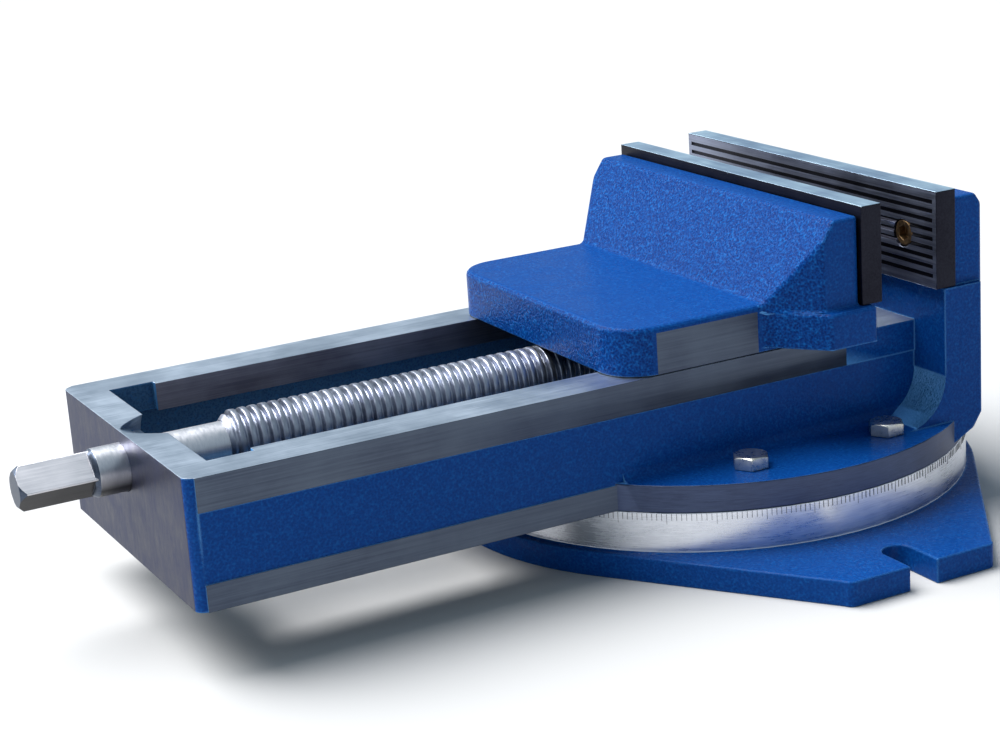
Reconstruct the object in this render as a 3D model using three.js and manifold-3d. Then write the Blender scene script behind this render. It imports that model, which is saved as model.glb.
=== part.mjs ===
// Machine vise on a graduated swivel base: a cast bed with its fixed jaw, a sliding jaw driven
// by a lead screw, and a round base with two slotted lugs. Millimetres, +Z up. The origin is on
// the swivel axis at the underside of the base, +X runs to the fixed jaw, the screw to -X.
import * as THREE from "three";
import { mergeVertices } from "three/addons/utils/BufferGeometryUtils.js";
import Module from "manifold-3d";

const wasm = await Module();
wasm.setup();

// Clearances
const touch = 0.3; // between pieces that rest on each other
const running = 0.4; // between pieces that slide or turn
const over = 2; // how far a cutting tool runs past a face

// Swivel base
const basePlate = 14; // thickness of the round plate and its lugs
const baseMargin = 5; // the round plate past the ring
const lugLength = 51; // past the round plate
const lugWidth = 93;
const lugCorner = 4;
const lugSlotWidth = 17;
const lugSlotDepth = 30;
const hubRadius = 50;
const pinDiameter = 30;
const pinSeat = 16; // blind bottom of the pin's hole
const ringInside = 22; // middle of the circular T-slot to the ring's inner wall
const ringOutside = 26;
const slotNeck = 13.5;
const slotWide = 22;
const slotFloor = 17;
const slotCeiling = 27;

// Swivelling body
const bodyBottom = 37;
const flangeThickness = 15;
const bedReach = 354.6; // swivel axis to the outer face of the front wall
const bedWidth = 197.2;
const frontWall = 19.7;
const bedCorner = 6;
const sideInset = 0.8; // painted sides lie this far inside the machined bands
const bandStart = 5;
const bandHeight = 18;
const bandStep = 0.7; // top of the lower band below the flange's top
const bedRoot = 10; // how far the bed runs into the column
const wayGap = 142.2; // between the machined ways
const castDepth = 5.1; // of the unmachined part behind the front wall, into each side
const castLength = 25.2;
const undercutDepth = 10.9; // of the undercut below each way
const lipThickness = 15.6;
const floorThickness = 14;
const wellBack = 68;
const chipOpening = { length: 130, width: 106, fromWall: 26 };
const scoopInner = 28; // conical relief over the screw, radius at the wall's inner face
const scoopOuter = 18.8;
const scoopFloor = 9; // above the screw axis at the inner face, from where it slopes up
const scoopEdge = 1; // of the wall's top left outside the slope

// Fixed jaw
const jawWidth = 250;
const gripFace = 76.6; // gripping face of the fixed plate
const plateThickness = 13.1;
const plateHeight = 54.8;
const seatHeight = 22.7; // of the plates' seats above the rails
const columnLead = 4.5; // column front behind the gripping face
const columnProud = 1; // past each end of the plate
const columnSide = 25; // length of the column's straight side
const columnDepth = 54;
const columnBackWidth = 144;
const columnFillet = 27;
const columnFoot = 14; // column starts this far below the flange top
const headInside = 3; // inside each end of the plate
const headBelow = 5.1; // below the plate's top
const headTopDepth = 16;
const headFlare = 3.5; // the head's straight ends run this far past the column's
const headSlopeFoot = 8.7; // above the seat, where the sloping back meets the column's
const rimStart = 2; // the rim is turned straight this far up, then rounded outwards
const rimRelief = 18; // height of the rounded part of the cut
const rimSpread = 13;
const sideFillet = 6;

// Moving jaw
const jawGap = 37; // between the gripping faces
const apronLength = 136.3; // from the plate's back to the apron's front
const apronHeight = 27;
const apronCorner = 24;
const uprightTopDepth = 16;
const uprightFootDepth = 46.5;
const flareDepth = 23;
const wingProud = 3.5; // past each end of the plate
const wingLift = 2.6;
const wingLead = 7.3; // ledge in front of the plate's back
const ribClear = 3; // beside the nut
const ribFront = -60;
const ribBack = 22;

// Lead screw and nut
const threadDiameter = 36;
const threadBelow = 1.5; // the thread's top below the rails
const shankDiameter = 26;
const squareSize = 18;
const cornerStep = 0.7; // the square's turned corners inside the shank
const squareLength = 40;
const stubLength = 17.6;
const shankLength = 41; // inner face of the wall to the thread
const threadEnd = 46;
const neckStep = 3; // depth of the retaining neck
const neckWidth = 7;
const retainerDiameter = 6;
const retainerAbove = 13; // the screw's axis
const retainerBelow = 23;
const endChamfer = 1.5;
const nutLength = 60;
const nutFront = -55;
const nutWidth = 74;
const nutWall = 5.7; // below the bore
const nutRoom = 2.7; // between the nut's bolt heads and the floor
const nutKey = 6; // height of the nut inside the apron's pocket

// Fasteners: nominal diameter, head diameter, head height
const plateScrew = { shank: 10, head: 15.5, headHeight: 8, grip: 24, fromMiddle: 95 };
const nutBolt = { shank: 10, head: 16, headHeight: 9, grip: 62, inset: 12, fromMiddle: 28 };
const keeperScrew = { shank: 8, head: 13, headHeight: 7, grip: 26, inset: 15, fromEdge: 11 };
const clampBolt = { shank: 12, flats: 18, headHeight: 7, aboveSlot: 3.3, besideAxis: 45, besideBed: 20.2 };
const holeClearance = 0.6; // on the diameter of a clearance hole
const keeperThickness = 12.6;
const keeperStep = 5; // its inner edge past the rib's
const tNut = { length: 24, width: 19, height: 9 };

// Heights and places that follow from the sizes above
const clampY = bedWidth / 2 + clampBolt.besideBed;
const clampPlaces = [[-1, -1], [1, -1], [-1, 1], [1, 1]].map(([a, b]) =>
  [a * clampBolt.besideAxis, b * clampY]);
const slotRadius = Math.hypot(clampBolt.besideAxis, clampY); // middle of the circular T-slot
const ringInner = slotRadius - ringInside;
const flangeRadius = slotRadius + ringOutside;
const baseRadius = flangeRadius + baseMargin;
const lugReach = baseRadius + lugLength;
const ringTop = bodyBottom - touch;
const flangeTop = bodyBottom + flangeThickness;
const floorTop = bodyBottom + floorThickness;
const nutBottom = floorTop + nutRoom + nutBolt.headHeight + touch;
const screwZ = nutBottom + nutWall + running + threadDiameter / 2;
const railTop = screwZ + threadDiameter / 2 + threadBelow;
const plateSeat = railTop + seatHeight;
const lipBottom = railTop - lipThickness;
const wallInner = frontWall - bedReach;
const columnFront = gripFace + columnLead;
const fixedBack = gripFace + plateThickness;
const movingFace = gripFace - jawGap;
const movingBack = movingFace - plateThickness;
const apronTop = railTop + apronHeight;
const apronBottom = railTop + touch;
const plateMiddle = plateSeat + plateHeight / 2;
const keeperTop = lipBottom - running;
const neckX = wallInner - frontWall / 2;
const neckDiameter = shankDiameter - 2 * neckStep;
const squareCorners = shankDiameter - 2 * cornerStep;
const retainerY = neckDiameter / 2 + retainerDiameter / 2 + touch;
const castGap = wayGap + 2 * castDepth;
const undercutGap = wayGap + 2 * undercutDepth;
const columnWidth = jawWidth + 2 * columnProud;
const headWidth = jawWidth - 2 * headInside;
const headTop = plateSeat + plateHeight - headBelow;
const wingWidth = jawWidth + 2 * wingProud;
const ribInner = nutWidth / 2 + ribClear;
const keeperInner = ribInner + keeperStep;
const keeperScrewY = keeperInner + keeperScrew.fromEdge;
const clampGrip = flangeTop + touch - slotFloor - clampBolt.aboveSlot;

const finish = (color, roughness, metalness) =>
  new THREE.MeshStandardMaterial({ color, roughness, metalness });
const finishes = {
  paint: () => finish(0x1f4fa8, 0.35, 0.1),
  iron: () => finish(0x8d9299, 0.45, 0.8),
  steel: () => finish(0xc4c6c9, 0.25, 0.95),
  black: () => finish(0x2e2c33, 0.4, 0.6),
  zinc: () => finish(0xb3ae93, 0.35, 0.9),
  bronze: () => finish(0xa9844a, 0.35, 0.9),
};

// A closed three.js geometry as a solid, and a solid as a geometry.
function solid(geometry) {
  const bare = geometry.index ? geometry.toNonIndexed() : geometry.clone();
  bare.deleteAttribute("normal");
  bare.deleteAttribute("uv");
  const merged = mergeVertices(bare, 1e-4);
  return new wasm.Manifold(new wasm.Mesh({
    numProp: 3,
    vertProperties: merged.attributes.position.array,
    triVerts: new Uint32Array(merged.index.array),
  }));
}

function geometryOf(made) {
  const data = made.getMesh();
  const geometry = new THREE.BufferGeometry();
  geometry.setAttribute("position", new THREE.BufferAttribute(data.vertProperties, 3));
  geometry.setIndex(new THREE.BufferAttribute(data.triVerts, 1));
  geometry.computeVertexNormals();
  return geometry;
}

const joined = (...pieces) => pieces.reduce((all, piece) => all.add(piece));
const cut = (piece, ...tools) => tools.reduce((rest, tool) => rest.subtract(tool), piece);
const bothSides = (make) => [make(-1), make(1)];

function block(x0, x1, y0, y1, z0, z1) {
  const geometry = new THREE.BoxGeometry(x1 - x0, y1 - y0, z1 - z0);
  return solid(geometry.translate((x0 + x1) / 2, (y0 + y1) / 2, (z0 + z1) / 2));
}

// Centred on the XZ plane, as most of the vise is.
const bar = (x0, x1, width, z0, z1) => block(x0, x1, -width / 2, width / 2, z0, z1);

function upright(x, y, z0, z1, diameter, sides = 32) {
  const geometry = new THREE.CylinderGeometry(diameter / 2, diameter / 2, z1 - z0, sides);
  return solid(geometry.rotateX(Math.PI / 2).translate(x, y, (z0 + z1) / 2));
}

function along(x0, x1, y, z, diameter, sides = 32) {
  const geometry = new THREE.CylinderGeometry(diameter / 2, diameter / 2, x1 - x0, sides);
  return solid(geometry.rotateZ(Math.PI / 2).translate((x0 + x1) / 2, y, z));
}

function plate(shape, z0, z1, curveSegments = 12) {
  const geometry = new THREE.ExtrudeGeometry(shape,
    { depth: z1 - z0, bevelEnabled: false, curveSegments });
  return solid(geometry.translate(0, 0, z0));
}

// A profile in X and Z, carried across the vise by its width.
function across(shape, width) {
  const geometry = new THREE.ExtrudeGeometry(shape,
    { depth: width, bevelEnabled: false, curveSegments: 8 });
  return solid(geometry.rotateX(Math.PI / 2).translate(0, width / 2, 0));
}

function turned(profile, sides) {
  const points = profile.map(([r, h]) => new THREE.Vector2(r, h));
  return new THREE.LatheGeometry([...points, points[0]], sides);
}

const turnedUpright = (profile, sides = 72) => solid(turned(profile, sides).rotateX(Math.PI / 2));

function turnedAlong(profile, sides = 48) {
  return solid(turned(profile, sides).rotateZ(-Math.PI / 2).translate(0, 0, screwZ));
}

function outline(points) {
  return new THREE.Shape(points.map(([x, y]) => new THREE.Vector2(x, y)));
}

// ---- Swivel base
function baseOutline() {
  const half = lugWidth / 2;
  const corner = Math.atan2(lugReach, half);
  const tangent = corner - Math.acos(baseRadius / Math.hypot(half, lugReach));
  const slot = lugSlotWidth / 2;
  const slotMiddle = lugReach - lugSlotDepth + slot;
  const shape = new THREE.Shape();
  shape.absarc(0, 0, baseRadius, -tangent, tangent, false);
  for (const end of [1, -1]) {
    const x = (v) => v * end;
    shape.lineTo(x(half + lugCorner / 3), x(lugReach - lugCorner));
    shape.quadraticCurveTo(x(half), x(lugReach), x(half - lugCorner), x(lugReach));
    shape.lineTo(x(slot), x(lugReach));
    const start = end > 0 ? 0 : Math.PI;
    shape.absarc(0, x(slotMiddle), slot, start, start - Math.PI, true);
    shape.lineTo(x(-slot), x(lugReach));
    shape.lineTo(x(-half + lugCorner), x(lugReach));
    shape.quadraticCurveTo(x(-half), x(lugReach), x(-half - lugCorner / 3), x(lugReach - lugCorner));
    if (end > 0) shape.absarc(0, 0, baseRadius, Math.PI - tangent, Math.PI + tangent, false);
  }
  shape.closePath();
  return shape;
}

function swivelBase() {
  const neck = slotNeck / 2;
  const wide = slotWide / 2;
  const ring = turnedUpright([
    [ringInner, basePlate - 1], [flangeRadius, basePlate - 1], [flangeRadius, ringTop],
    [slotRadius + neck, ringTop], [slotRadius + neck, slotCeiling],
    [slotRadius + wide, slotCeiling], [slotRadius + wide, slotFloor],
    [slotRadius - wide, slotFloor], [slotRadius - wide, slotCeiling],
    [slotRadius - neck, slotCeiling], [slotRadius - neck, ringTop], [ringInner, ringTop],
  ]);
  const entry = block(slotRadius - wide, slotRadius + wide, -tNut.length * 0.6, tNut.length * 0.6,
    slotFloor, ringTop + over);
  return cut(
    joined(plate(baseOutline(), 0, basePlate, 24), ring,
      upright(0, 0, basePlate - 1, ringTop, hubRadius * 2, 48)),
    upright(0, 0, pinSeat, ringTop + over, pinDiameter + 2 * touch, 48), entry);
}

const pivotPin = () => upright(0, 0, pinSeat + touch, floorTop - 1, pinDiameter, 48);

// ---- Body
function bedCore() {
  const half = bedWidth / 2 - sideInset;
  const shape = new THREE.Shape();
  shape.moveTo(columnFront + bedRoot, -half);
  shape.lineTo(columnFront + bedRoot, half);
  shape.lineTo(bedCorner - bedReach, half);
  shape.absarc(bedCorner - bedReach, half - bedCorner, bedCorner, Math.PI / 2, Math.PI, false);
  shape.absarc(bedCorner - bedReach, bedCorner - half, bedCorner, Math.PI, Math.PI * 1.5, false);
  shape.closePath();
  return plate(shape, bodyBottom, railTop);
}

function bedBand(bottom, top) {
  return bar(bandStart - bedReach, columnFront + 1, bedWidth, bottom, top);
}

function columnOutline(front, width, side, depth, backWidth) {
  const ends = [[front, -width / 2], [front + side, -width / 2], [front + depth, -backWidth / 2]];
  return outline([...ends, ...ends.map(([x, y]) => [x, -y]).reverse()]);
}

function columnToe() {
  const shape = new THREE.Shape();
  shape.moveTo(columnFront + 1, flangeTop - columnFoot);
  shape.lineTo(columnFront + 1, flangeTop + columnFillet);
  shape.lineTo(columnFront, flangeTop + columnFillet);
  shape.absarc(columnFront - columnFillet, flangeTop + columnFillet, columnFillet,
    0, -Math.PI / 2, true);
  shape.lineTo(columnFront - columnFillet, flangeTop - columnFoot);
  shape.closePath();
  return across(shape, columnWidth);
}

function sideFillets() {
  const edge = bedWidth / 2 - sideInset;
  const reach = Math.sqrt(flangeRadius ** 2 - (edge + sideFillet) ** 2);
  return bothSides((side) => {
    const shape = new THREE.Shape();
    shape.moveTo(-1, -1);
    shape.lineTo(sideFillet, -1);
    shape.lineTo(sideFillet, 0);
    shape.absarc(sideFillet, sideFillet, sideFillet, -Math.PI / 2, -Math.PI, true);
    shape.lineTo(-1, sideFillet);
    shape.closePath();
    const geometry = new THREE.ExtrudeGeometry(shape,
      { depth: reach + columnFront - 1, bevelEnabled: false, curveSegments: 6 });
    geometry.rotateX(Math.PI / 2).rotateZ(Math.PI / 2);
    if (side < 0) geometry.rotateZ(Math.PI).translate(reach + columnFront - 1, 0, 0);
    return solid(geometry.translate(-reach, side * edge, flangeTop));
  });
}

// What a lathe takes off around the flange rim and under the corners of the column.
function rimTool() {
  const outer = columnWidth;
  return turnedUpright([
    [flangeRadius, bodyBottom - over], [outer, bodyBottom - over],
    [outer, bodyBottom + rimStart + rimRelief],
    [flangeRadius + rimSpread, bodyBottom + rimStart + rimRelief],
    [flangeRadius + rimSpread * 0.6, bodyBottom + rimStart + rimRelief * 0.35],
    [flangeRadius, bodyBottom + rimStart],
  ]);
}

function head() {
  const front = fixedBack + touch;
  const back = columnFront + columnDepth - 1;
  const side = columnSide + columnFront - front + headFlare;
  const profile = outline([[front, plateSeat - 1], [front, headTop], [front + headTopDepth, headTop],
    [back, plateSeat + headSlopeFoot], [back, plateSeat - 1]]);
  return across(profile, headWidth).intersect(
    plate(columnOutline(front, headWidth, side, back - front, columnBackWidth),
      plateSeat - 2, headTop + 1));
}

function scoopTool() {
  const slope = (scoopInner - scoopOuter) / frontWall;
  const cone = turnedAlong([[0, -bedReach], [scoopOuter, -bedReach],
    [scoopInner + slope, wallInner + 1], [0, wallInner + 1]]);
  const ramp = outline([[scoopEdge - bedReach, railTop], [wallInner, screwZ + scoopFloor],
    [wallInner + over, screwZ + scoopFloor], [wallInner + over, railTop + scoopInner],
    [scoopEdge - bedReach, railTop + scoopInner]]);
  return cone.intersect(across(ramp, bedWidth));
}

function plateScrewHoles(from, to) {
  return bothSides((side) => along(from, to, side * plateScrew.fromMiddle, plateMiddle,
    plateScrew.shank + holeClearance, 24));
}

function viseBody() {
  const chipStart = wallInner + chipOpening.fromWall;
  const casting = joined(
    bedCore(), bedBand(railTop - bandHeight, railTop), bedBand(bodyBottom, flangeTop - bandStep),
    upright(0, 0, bodyBottom, flangeTop, flangeRadius * 2, 72),
    cut(joined(
      plate(columnOutline(columnFront, columnWidth, columnSide, columnDepth, columnBackWidth),
        flangeTop - columnFoot, plateSeat), columnToe()), rimTool()),
    ...sideFillets(),
    head());
  return cut(casting,
    bar(wallInner, wellBack, wayGap, floorTop, railTop + over),
    bar(wallInner, wellBack, undercutGap, floorTop, lipBottom),
    bar(wallInner, wallInner + castLength, castGap, floorTop, railTop + over),
    bar(chipStart, chipStart + chipOpening.length, chipOpening.width, bodyBottom - over,
      floorTop + over),
    along(-bedReach - over, wallInner + over, 0, screwZ, shankDiameter + holeClearance, 48),
    scoopTool(),
    upright(0, 0, bodyBottom - over, floorTop + over, pinDiameter + holeClearance, 48),
    ...clampPlaces.map(([x, y]) => upright(x, y, bodyBottom - over, flangeTop + over,
      clampBolt.shank + 1, 24)),
    ...bothSides((side) => upright(neckX, side * retainerY, bodyBottom - over,
      screwZ + retainerAbove + 1, retainerDiameter + holeClearance, 20)),
    ...plateScrewHoles(fixedBack - over, fixedBack + plateScrew.grip));
}

const retainer = (side) => upright(neckX, side * retainerY, screwZ - retainerBelow,
  screwZ + retainerAbove, retainerDiameter, 20);

function jawPlate(back, face) {
  const away = Math.sign(face - back);
  const depth = plateScrew.headHeight + 1;
  const bored = (from, to, diameter) => bothSides((side) => along(Math.min(from, to),
    Math.max(from, to), side * plateScrew.fromMiddle, plateMiddle, diameter, 32));
  return cut(
    bar(Math.min(back, face), Math.max(back, face), jawWidth, plateSeat + touch,
      plateSeat + touch + plateHeight),
    ...bored(back - away, face + away, plateScrew.shank + holeClearance),
    ...bored(face - away * depth, face + away, plateScrew.head + holeClearance));
}

// ---- Fasteners, built along +Z with the underside of the head at 0 and the shank below
function capScrew({ shank, head, headHeight, grip }) {
  const socket = new THREE.CylinderGeometry(head * 0.3, head * 0.3, headHeight, 6);
  return cut(
    joined(upright(0, 0, -grip, 1, shank, 16), upright(0, 0, 0, headHeight, head, 24)),
    solid(socket.rotateX(Math.PI / 2).translate(0, 0, headHeight)));
}

function hexBolt({ shank, flats, headHeight, grip }) {
  const hex = new THREE.CylinderGeometry(flats / Math.sqrt(3), flats / Math.sqrt(3), headHeight, 6);
  const rounded = turnedUpright([[0, 0], [flats * 0.6, 0], [flats * 0.6, headHeight * 0.8],
    [flats * 0.48, headHeight], [0, headHeight]], 36);
  return joined(upright(0, 0, -grip, 1, shank, 24),
    solid(hex.rotateX(Math.PI / 2).translate(0, 0, headHeight / 2)).intersect(rounded));
}

function tNutBlock() {
  return cut(block(-tNut.length / 2, tNut.length / 2, -tNut.width / 2, tNut.width / 2,
    -tNut.height, 0), upright(0, 0, -tNut.height - over, over, clampBolt.shank + holeClearance, 24));
}

// ---- Lead screw
function leadScrew() {
  const shank = shankDiameter / 2;
  const neck = neckDiameter / 2;
  const threadStart = wallInner + shankLength;
  const thread = threadDiameter / 2;
  const round = turnedAlong([
    [0, -bedReach - stubLength - 1], [shank - endChamfer, -bedReach - stubLength - 1],
    [shank, -bedReach - stubLength + endChamfer], [shank, neckX - neckWidth / 2],
    [neck, neckX - neckWidth / 2], [neck, neckX + neckWidth / 2], [shank, neckX + neckWidth / 2],
    [shank, threadStart - (thread - shank) / 2], [thread, threadStart],
    [thread, threadEnd - 2 * endChamfer], [thread - 2 * endChamfer, threadEnd], [0, threadEnd],
  ]);
  const end = -bedReach - stubLength - squareLength;
  const square = new THREE.BoxGeometry(squareLength + 1, squareSize, squareSize);
  square.rotateX(Math.PI / 4).translate(end + (squareLength + 1) / 2, 0, screwZ);
  const corners = turnedAlong([[0, end], [squareCorners / 2 - endChamfer * 2, end],
    [squareCorners / 2, end + endChamfer * 2], [squareCorners / 2, -bedReach], [0, -bedReach]]);
  return joined(round, solid(square).intersect(corners));
}

// ---- Moving jaw
function apron() {
  const half = bedWidth / 2;
  const front = movingBack - apronLength;
  const shape = new THREE.Shape();
  shape.moveTo(movingBack - touch, -half);
  shape.lineTo(movingBack - touch, half);
  shape.lineTo(front + apronCorner, half);
  shape.absarc(front + apronCorner, half - apronCorner, apronCorner, Math.PI / 2, Math.PI, false);
  shape.absarc(front + apronCorner, apronCorner - half, apronCorner, Math.PI, 1.5 * Math.PI, false);
  shape.closePath();
  return plate(shape, apronBottom, apronTop);
}

function uprightBlock() {
  const seat = movingBack - touch;
  const foot = movingBack - uprightFootDepth;
  const profile = outline([[seat, apronBottom + over], [seat, headTop],
    [movingBack - uprightTopDepth, headTop], [foot, apronTop], [foot, apronBottom + over]]);
  const flare = movingBack - flareDepth;
  const plan = outline([[foot, -bedWidth / 2], [flare, -headWidth / 2], [seat, -headWidth / 2],
    [seat, headWidth / 2], [flare, headWidth / 2], [foot, bedWidth / 2]]);
  return across(profile, headWidth).intersect(plate(plan, plateSeat - 1, headTop));
}

function wings() {
  const foot = movingBack - uprightFootDepth;
  const flare = movingBack - flareDepth;
  const front = movingBack + wingLead;
  const half = wingWidth / 2;
  return plate(outline([[foot, -bedWidth / 2], [flare, -half], [front, -half], [front, half],
    [flare, half], [foot, bedWidth / 2]]), railTop + wingLift, plateSeat);
}

function movingJaw() {
  const rib = (side) => {
    const edges = [side * ribInner, side * (wayGap / 2 - running)].sort((a, b) => a - b);
    return block(ribFront, ribBack, ...edges, keeperTop + touch, apronBottom + 1);
  };
  return cut(
    joined(apron(), uprightBlock(), wings(), ...bothSides(rib)),
    bar(nutFront - touch, nutFront + nutLength + touch, nutWidth + 2 * touch, nutBottom,
      apronBottom + nutKey + touch),
    ...nutBoltPlaces().map(([x, y]) => upright(x, y, apronBottom, nutBottom + nutBolt.grip + 2,
      nutBolt.shank + holeClearance, 24)),
    ...keeperScrewPlaces().map(([x, y]) => upright(x, y, keeperTop,
      keeperTop - keeperThickness + keeperScrew.grip + 2, keeperScrew.shank + holeClearance, 24)),
    ...plateScrewHoles(movingBack - plateScrew.grip, movingBack + over));
}

function nutBoltPlaces() {
  const ends = [nutFront + nutBolt.inset, nutFront + nutLength - nutBolt.inset];
  return ends.flatMap((x) => bothSides((side) => [x, side * nutBolt.fromMiddle]));
}

function keeperScrewPlaces() {
  const ends = [ribFront + keeperScrew.inset, ribBack - keeperScrew.inset];
  return ends.flatMap((x) => bothSides((side) => [x, side * keeperScrewY]));
}

function screwNut() {
  return cut(
    bar(nutFront, nutFront + nutLength, nutWidth, nutBottom, apronBottom + nutKey),
    along(nutFront - over, nutFront + nutLength + over, 0, screwZ, threadDiameter + 2 * running, 48),
    ...nutBoltPlaces().map(([x, y]) => upright(x, y, nutBottom - over, apronBottom + nutKey + over,
      nutBolt.shank + holeClearance, 24)));
}

function keeper(side) {
  const edges = [side * keeperInner, side * (undercutGap / 2 - 1.5)].sort((a, b) => a - b);
  return cut(
    block(ribFront, ribBack, ...edges, keeperTop - keeperThickness, keeperTop),
    ...keeperScrewPlaces().filter(([, y]) => y * side > 0).map(([x, y]) => upright(x, y,
      keeperTop - keeperThickness - over, keeperTop + over, keeperScrew.shank + holeClearance, 24)));
}

// ---- Assembly
const vise = new THREE.Group();
const base = new THREE.Group();
const body = new THREE.Group();
const slide = new THREE.Group();
const screw = new THREE.Group();
vise.add(base, body, slide, screw);

function place(group, name, made, material, position = [0, 0, 0], rotation = [0, 0, 0]) {
  const mesh = new THREE.Mesh(geometryOf(made), material());
  mesh.name = name;
  mesh.position.set(...position);
  mesh.rotation.set(...rotation);
  group.add(mesh);
}

place(base, "swivel_base", swivelBase(), finishes.paint);
place(base, "pivot_pin", pivotPin(), finishes.steel);

place(body, "vise_body", viseBody(), finishes.paint);
place(body, "fixed_jaw_plate", jawPlate(fixedBack, gripFace), finishes.black);
place(slide, "moving_jaw", movingJaw(), finishes.paint);
place(slide, "moving_jaw_plate", jawPlate(movingBack, movingFace), finishes.black);
place(slide, "screw_nut", screwNut(), finishes.bronze);
place(screw, "lead_screw", leadScrew(), finishes.steel);

[-1, 1].forEach((side, i) => {
  const headSeat = plateScrew.headHeight + 1 - touch;
  const y = side * plateScrew.fromMiddle;
  place(body, `retaining_pin_${i + 1}`, retainer(side), finishes.steel);
  place(body, `fixed_plate_screw_${i + 1}`, capScrew(plateScrew), finishes.zinc,
    [gripFace + headSeat, y, plateMiddle], [0, -Math.PI / 2, 0]);
  place(slide, `moving_plate_screw_${i + 1}`, capScrew(plateScrew), finishes.zinc,
    [movingFace - headSeat, y, plateMiddle], [0, Math.PI / 2, 0]);
  place(slide, side < 0 ? "keeper_right" : "keeper_left", keeper(side), finishes.iron);
});

clampPlaces.forEach(([x, y], i) => {
  place(body, `clamp_bolt_${i + 1}`, hexBolt({ ...clampBolt, grip: clampGrip }), finishes.zinc,
    [x, y, flangeTop + touch]);
  place(body, `t_nut_${i + 1}`, tNutBlock(), finishes.steel, [x, y, slotCeiling - touch],
    [0, 0, Math.atan2(y, x) + Math.PI / 2]);
});

const upsideDown = [Math.PI, 0, 0];
nutBoltPlaces().forEach(([x, y], i) => place(slide, `nut_bolt_${i + 1}`, capScrew(nutBolt),
  finishes.black, [x, y, nutBottom - touch], upsideDown));
keeperScrewPlaces().forEach(([x, y], i) => place(slide, `keeper_screw_${i + 1}`,
  capScrew(keeperScrew), finishes.black, [x, y, keeperTop - keeperThickness - touch], upsideDown));

export default vise;
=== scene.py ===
import bpy
import bmesh
import math
from mathutils import Matrix, Vector


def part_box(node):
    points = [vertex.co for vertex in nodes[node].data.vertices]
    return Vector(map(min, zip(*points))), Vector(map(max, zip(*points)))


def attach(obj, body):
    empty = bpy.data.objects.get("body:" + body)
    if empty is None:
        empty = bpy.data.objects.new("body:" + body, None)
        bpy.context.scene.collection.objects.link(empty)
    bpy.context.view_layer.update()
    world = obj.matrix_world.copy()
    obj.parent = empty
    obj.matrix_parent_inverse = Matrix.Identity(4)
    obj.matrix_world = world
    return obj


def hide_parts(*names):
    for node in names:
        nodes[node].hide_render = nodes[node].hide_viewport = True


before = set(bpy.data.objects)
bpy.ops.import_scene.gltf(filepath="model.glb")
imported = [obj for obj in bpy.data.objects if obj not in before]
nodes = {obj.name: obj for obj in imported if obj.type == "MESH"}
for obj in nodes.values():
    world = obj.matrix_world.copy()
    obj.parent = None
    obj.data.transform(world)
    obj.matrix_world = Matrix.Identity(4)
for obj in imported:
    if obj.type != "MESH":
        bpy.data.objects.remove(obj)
scene = bpy.context.scene
scene.view_settings.view_transform = "Standard"  # keeps the paint's blue as it is mixed
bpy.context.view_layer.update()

camera = {
    "place": (-0.66914, -1.06924, 0.44651),
    "azimuth": 26.659, "elevation": 16.461, "roll": -3.979,  # degrees
    "lens": 79.944,
}


def makeCamera():
    data = bpy.data.cameras.new("camera")
    data.lens = camera["lens"]
    data.clip_end = 20
    piece = bpy.data.objects.new("camera", data)
    turn = Matrix.Rotation(math.radians(-camera["azimuth"]), 4, "Z")
    tip = Matrix.Rotation(math.radians(90 - camera["elevation"]), 4, "X")
    roll = Matrix.Rotation(math.radians(camera["roll"]), 4, "Z")
    piece.matrix_world = Matrix.Translation(camera["place"]) @ turn @ tip @ roll
    scene.collection.objects.link(piece)
    scene.camera = piece
    print("camera in place")


studio = {
    "world": (0.66, 0.84, 1.0), "worldStrength": 0.38,
    "floorSize": 16.0, "floorColour": (0.56, 0.555, 0.55),
    "key": {"from": (-0.38, 0.42, 1.0), "spread": 48, "power": 5.7},
    "card": {"place": (-1.1, 1.3, 0.9), "aim": (-0.1, 0.0, 0.1), "size": 1.1, "power": 9.0},
}


def softLight(name, kind, place, aim):
    data = bpy.data.lights.new(name, kind)
    lamp = bpy.data.objects.new(name, data)
    lamp.location = place
    lamp.rotation_euler = (Vector(aim) - Vector(place)).to_track_quat("-Z", "Y").to_euler()
    scene.collection.objects.link(lamp)
    return data


def makeStudio(finishes):
    world = bpy.data.worlds.new("studio")
    world.use_nodes = True
    sky = world.node_tree.nodes["Background"]
    sky.inputs["Color"].default_value = (*studio["world"], 1)
    sky.inputs["Strength"].default_value = studio["worldStrength"]
    scene.world = world
    key = softLight("key_light", "SUN", studio["key"]["from"], (0, 0, 0))
    key.angle, key.energy = math.radians(studio["key"]["spread"]), studio["key"]["power"]
    card = softLight("card_light", "AREA", studio["card"]["place"], studio["card"]["aim"])
    card.size, card.energy = studio["card"]["size"], studio["card"]["power"]
    half = studio["floorSize"] / 2
    mesh = bpy.data.meshes.new("floor")
    mesh.from_pydata([(-half, -half, 0), (half, -half, 0), (half, half, 0), (-half, half, 0)],
                     [], [(0, 1, 2, 3)])
    mesh.materials.append(finishes["floor"])
    floor = link("floor", mesh)
    print("studio lit")


# Finishes. Every pattern is laid out in Object coordinates, in metres.

def newMaterial(name, colour, roughness, metallic=0.0):
    mat = bpy.data.materials.new(name)
    mat.use_nodes = True
    shader = mat.node_tree.nodes["Principled BSDF"]
    shader.inputs["Base Color"].default_value = (*colour, 1)
    shader.inputs["Roughness"].default_value = roughness
    shader.inputs["Metallic"].default_value = metallic
    return mat, mat.node_tree, shader


def addNode(tree, kind, links=(), **values):
    node = tree.nodes.new(kind)
    for key, value in values.items():
        if hasattr(node, key):
            setattr(node, key, value)
        else:
            node.inputs[key].default_value = value
    for socket, source in links:
        tree.links.new(source, node.inputs[socket])
    return node


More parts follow.
